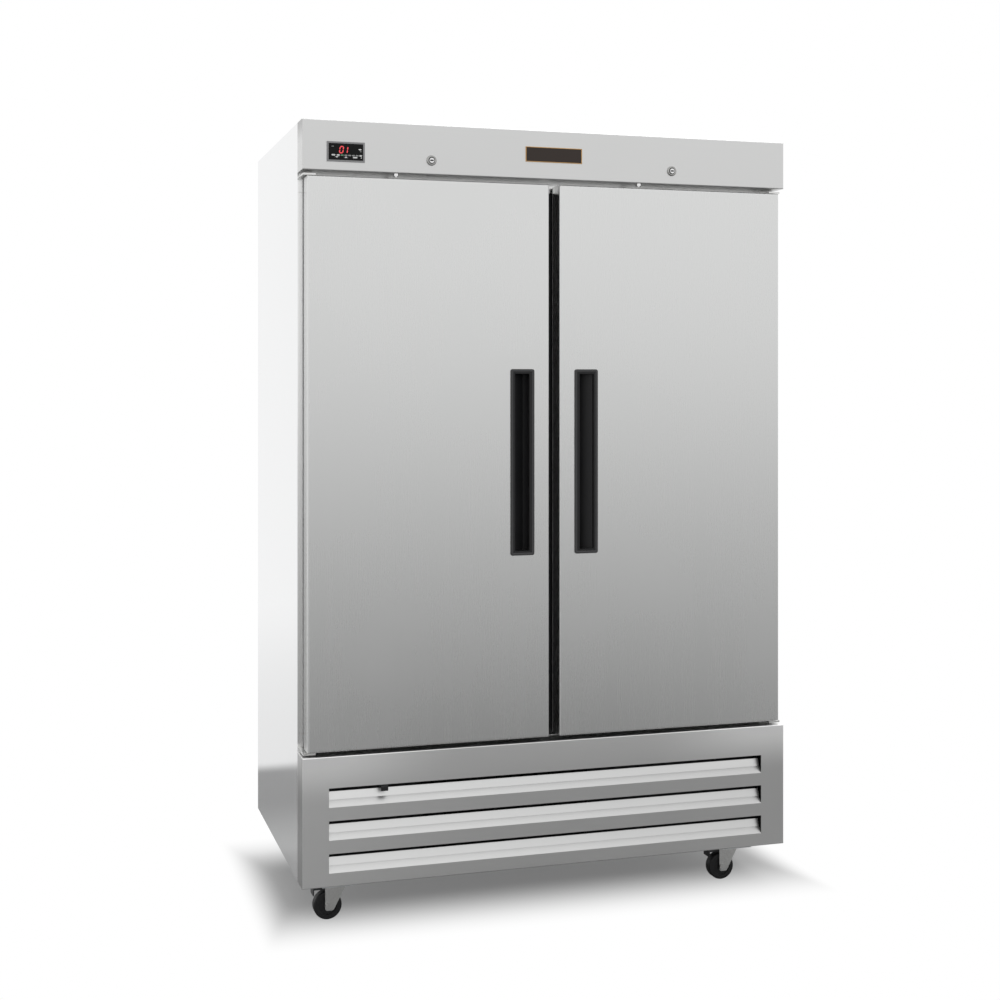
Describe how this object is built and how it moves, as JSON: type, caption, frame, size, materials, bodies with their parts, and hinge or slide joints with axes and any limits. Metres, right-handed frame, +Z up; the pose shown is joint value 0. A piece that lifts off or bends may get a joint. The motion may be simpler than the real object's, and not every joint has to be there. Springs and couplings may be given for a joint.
{
  "type": "two-door reach-in freezer",
  "caption": "Upright stainless reach-in freezer with a header, recessed pulls on full-height doors, a louvred base grille, wire shelves and swivel casters with brakes.",
  "frame": {"origin": "on the floor under the middle of the cabinet's bounding box", "axes": "+Z up, +Y from the doors to the back, +X to the right as seen from the front"},
  "size_m": [1.372, 0.805, 2.114],
  "materials": {
    "stainless": "satin",
    "side_sheet": "satin",
    "zinc_sheet": "satin",
    "liner_sheet": "satin",
    "foam": "matte",
    "white_abs": "satin",
    "gasket_vinyl": "matte",
    "black_plastic": "satin",
    "display_glass": "gloss",
    "key_rubber": "matte",
    "chrome": "polished",
    "hinge_steel": "satin",
    "nylon": "satin",
    "zinc_steel": "satin",
    "wheel_rubber": "matte",
    "black_paint": "satin",
    "fin_aluminium": "satin",
    "copper": "satin",
    "coated_wire": "satin",
    "light_lens": "satin"
  },
  "bodies": {
    "cabinet": {"left_side_panel": "side_sheet", "right_side_panel": "side_sheet", "top_panel": "zinc_sheet", "rear_panel": "zinc_sheet", "rear_guard": "zinc_sheet", "cord_gland": "black_plastic", "refrigerant_lines": "copper", "cabinet_foam": "foam", "interior_liner": "liner_sheet", "door_frame": "stainless", "center_mullion": "black_plastic", "header_panel": "stainless", "controller_housing": "black_plastic", "display_window": "display_glass", "lock_barrels": "chrome", "door_switches": "chrome", "hinge_brackets": "hinge_steel", "hinge_pins": "hinge_steel", "grille_panel": "stainless", "base_frame": "zinc_sheet", "caster_plates": "zinc_steel", "condenser_coil": "black_paint", "evaporator_coil": "fin_aluminium", "fan_shroud": "black_paint", "fan_motors": "black_paint", "compressor": "black_paint", "drain_pan": "black_plastic", "light_strip": "light_lens", "shelf_standards": "stainless", "shelf_clips": "hinge_steel", "wire_shelves": "coated_wire"},
    "left_door": {"left_door_skin": "stainless", "left_door_foam": "foam", "left_door_inner_panel": "white_abs", "left_door_gasket": "gasket_vinyl", "left_door_handle": "black_plastic", "left_door_bushes": "nylon"},
    "right_door": {"right_door_skin": "stainless", "right_door_foam": "foam", "right_door_inner_panel": "white_abs", "right_door_gasket": "gasket_vinyl", "right_door_handle": "black_plastic", "right_door_bushes": "nylon"},
    "left_lock": {"left_lock_plug": "chrome"},
    "right_lock": {"right_lock_plug": "chrome"},
    "key_down": {"key_down": "key_rubber"},
    "key_up": {"key_up": "key_rubber"},
    "key_set": {"key_set": "key_rubber"},
    "caster_front_left": {"caster_fork_front_left": "zinc_steel"},
    "wheel_front_left": {"caster_wheel_front_left": "wheel_rubber"},
    "brake_front_left": {"brake_pedal_front_left": "black_paint"},
    "caster_front_right": {"caster_fork_front_right": "zinc_steel"},
    "wheel_front_right": {"caster_wheel_front_right": "wheel_rubber"},
    "brake_front_right": {"brake_pedal_front_right": "black_paint"},
    "caster_rear_left": {"caster_fork_rear_left": "zinc_steel"},
    "wheel_rear_left": {"caster_wheel_rear_left": "wheel_rubber"},
    "caster_rear_right": {"caster_fork_rear_right": "zinc_steel"},
    "wheel_rear_right": {"caster_wheel_rear_right": "wheel_rubber"},
    "condenser_fan": {"condenser_fan": "fin_aluminium"},
    "evaporator_fan": {"evaporator_fan": "black_plastic"}
  },
  "joints": [
    {"name": "left_door_swing", "type": "hinge", "parent": "cabinet", "child": "left_door", "pos_m": [-0.657, -0.3685, 1.223], "axis": [0, 0, -1], "range_deg": [0, 120], "stiffness_Nm_per_rad": 5, "springref_deg": -6.88},
    {"name": "right_door_swing", "type": "hinge", "parent": "cabinet", "child": "right_door", "pos_m": [0.657, -0.3685, 1.223], "axis": [0, 0, 1], "range_deg": [0, 120], "stiffness_Nm_per_rad": 5, "springref_deg": -6.88},
    {"name": "left_lock_turn", "type": "hinge", "parent": "cabinet", "child": "left_lock", "pos_m": [-0.34275, -0.3975, 2.02], "axis": [0, 1, 0], "range_deg": [0, 90]},
    {"name": "right_lock_turn", "type": "hinge", "parent": "cabinet", "child": "right_lock", "pos_m": [0.34275, -0.3975, 2.02], "axis": [0, 1, 0], "range_deg": [0, 90]},
    {"name": "key_down_press", "type": "slide", "parent": "cabinet", "child": "key_down", "axis": [0, 1, 0], "range_m": [0, 0.0008], "stiffness_N_per_m": 800},
    {"name": "key_up_press", "type": "slide", "parent": "cabinet", "child": "key_up", "axis": [0, 1, 0], "range_m": [0, 0.0008], "stiffness_N_per_m": 800},
    {"name": "key_set_press", "type": "slide", "parent": "cabinet", "child": "key_set", "axis": [0, 1, 0], "range_m": [0, 0.0008], "stiffness_N_per_m": 800},
    {"name": "caster_front_left_swivel", "type": "hinge", "parent": "cabinet", "child": "caster_front_left", "pos_m": [-0.575, -0.2505, 0.095], "axis": [0, 0, 1], "continuous": true},
    {"name": "wheel_front_left_roll", "type": "hinge", "parent": "caster_front_left", "child": "wheel_front_left", "pos_m": [-0.594, -0.2505, 0.038], "axis": [0, 1, 0], "continuous": true},
    {"name": "brake_front_left_press", "type": "hinge", "parent": "caster_front_left", "child": "brake_front_left", "pos_m": [-0.598, -0.2505, 0.0841], "axis": [0, -1, 0], "range_deg": [0, 14]},
    {"name": "caster_front_right_swivel", "type": "hinge", "parent": "cabinet", "child": "caster_front_right", "pos_m": [0.575, -0.2505, 0.095], "axis": [0, 0, 1], "continuous": true},
    {"name": "wheel_front_right_roll", "type": "hinge", "parent": "caster_front_right", "child": "wheel_front_right", "pos_m": [0.556, -0.2505, 0.038], "axis": [0, 1, 0], "continuous": true},
    {"name": "brake_front_right_press", "type": "hinge", "parent": "caster_front_right", "child": "brake_front_right", "pos_m": [0.552, -0.2505, 0.0841], "axis": [0, -1, 0], "range_deg": [0, 14]},
    {"name": "caster_rear_left_swivel", "type": "hinge", "parent": "cabinet", "child": "caster_rear_left", "pos_m": [-0.575, 0.2825, 0.095], "axis": [0, 0, 1], "continuous": true},
    {"name": "wheel_rear_left_roll", "type": "hinge", "parent": "caster_rear_left", "child": "wheel_rear_left", "pos_m": [-0.556, 0.2825, 0.038], "axis": [0, 1, 0], "continuous": true},
    {"name": "caster_rear_right_swivel", "type": "hinge", "parent": "cabinet", "child": "caster_rear_right", "pos_m": [0.575, 0.2825, 0.095], "axis": [0, 0, 1], "continuous": true},
    {"name": "wheel_rear_right_roll", "type": "hinge", "parent": "caster_rear_right", "child": "wheel_rear_right", "pos_m": [0.594, 0.2825, 0.038], "axis": [0, 1, 0], "continuous": true},
    {"name": "condenser_fan_spin", "type": "hinge", "parent": "cabinet", "child": "condenser_fan", "pos_m": [-0.11, -0.2045, 0.267], "axis": [0, 1, 0], "continuous": true},
    {"name": "evaporator_fan_spin", "type": "hinge", "parent": "cabinet", "child": "evaporator_fan", "pos_m": [0, -0.1415, 1.999], "axis": [0, 0, 1], "continuous": true}
  ]
}
